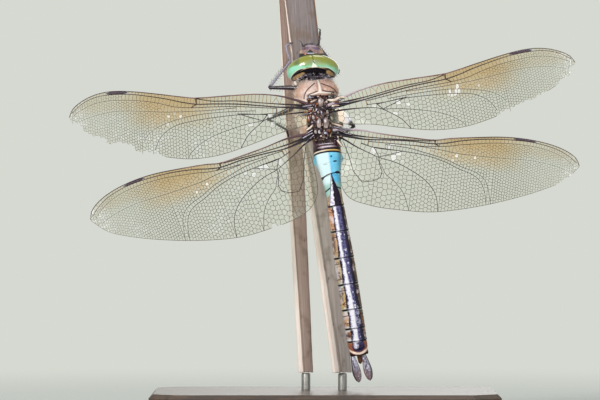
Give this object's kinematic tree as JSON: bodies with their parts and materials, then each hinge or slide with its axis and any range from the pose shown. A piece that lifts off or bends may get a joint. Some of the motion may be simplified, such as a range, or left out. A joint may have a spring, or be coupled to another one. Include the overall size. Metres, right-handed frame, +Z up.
{
  "type": "dragonfly model",
  "caption": "Male lesser emperor dragonfly clinging head up to a split dead reed leaf, clear worn wings spread, held over a flat display base by short rods.",
  "frame": {"origin": "middle of the display base's underside", "axes": "+Z up, towards the dragonfly's head; +X to the dragonfly's right, along its spread wings; -Y out of its back"},
  "size_m": [0.1011, 0.0508, 0.0852],
  "materials": {
    "eye": "glossy",
    "head_back": "satin",
    "face": "satin",
    "dark_shell": "satin",
    "thorax_shell": "satin",
    "abdomen_blue": "glossy",
    "abdomen_dark": "glossy",
    "clasper": "satin",
    "leg": "satin",
    "wing": "glossy and clear",
    "dead_leaf": "matte",
    "stand_wood": "satin",
    "stand_rod": "satin"
  },
  "bodies": {
    "root": {"abdomen_01": "abdomen_dark", "abdomen_02": "abdomen_blue", "abdomen_03": "abdomen_blue", "abdomen_04": "abdomen_dark", "abdomen_05": "abdomen_dark", "abdomen_06": "abdomen_dark", "abdomen_07": "abdomen_dark", "abdomen_08": "abdomen_dark", "abdomen_09": "abdomen_dark", "abdomen_10": "abdomen_dark", "antenna_left": "dark_shell", "antenna_right": "dark_shell", "cercus_left": "clasper", "cercus_right": "clasper", "epiproct": "clasper", "eye_left": "eye", "eye_right": "eye", "face": "face", "head_back": "head_back", "leg_front_left_femur": "leg", "leg_front_left_tarsus": "leg", "leg_front_left_tibia": "leg", "leg_front_right_femur": "leg", "leg_front_right_tarsus": "leg", "leg_front_right_tibia": "leg", "leg_hind_left_femur": "leg", "leg_hind_left_tarsus": "leg", "leg_hind_left_tibia": "leg", "leg_hind_right_femur": "leg", "leg_hind_right_tarsus": "leg", "leg_hind_right_tibia": "leg", "leg_middle_left_femur": "leg", "leg_middle_left_tarsus": "leg", "leg_middle_left_tibia": "leg", "leg_middle_right_femur": "leg", "leg_middle_right_tarsus": "leg", "leg_middle_right_tibia": "leg", "neck": "thorax_shell", "perch_blade_left": "dead_leaf", "perch_blade_right": "dead_leaf", "stand_base": "stand_wood", "stand_rod_left": "stand_rod", "stand_rod_right": "stand_rod", "thorax": "thorax_shell", "wing_fore_left": "wing", "wing_fore_right": "wing", "wing_hind_left": "wing", "wing_hind_right": "wing"}
  },
  "joints": []
}
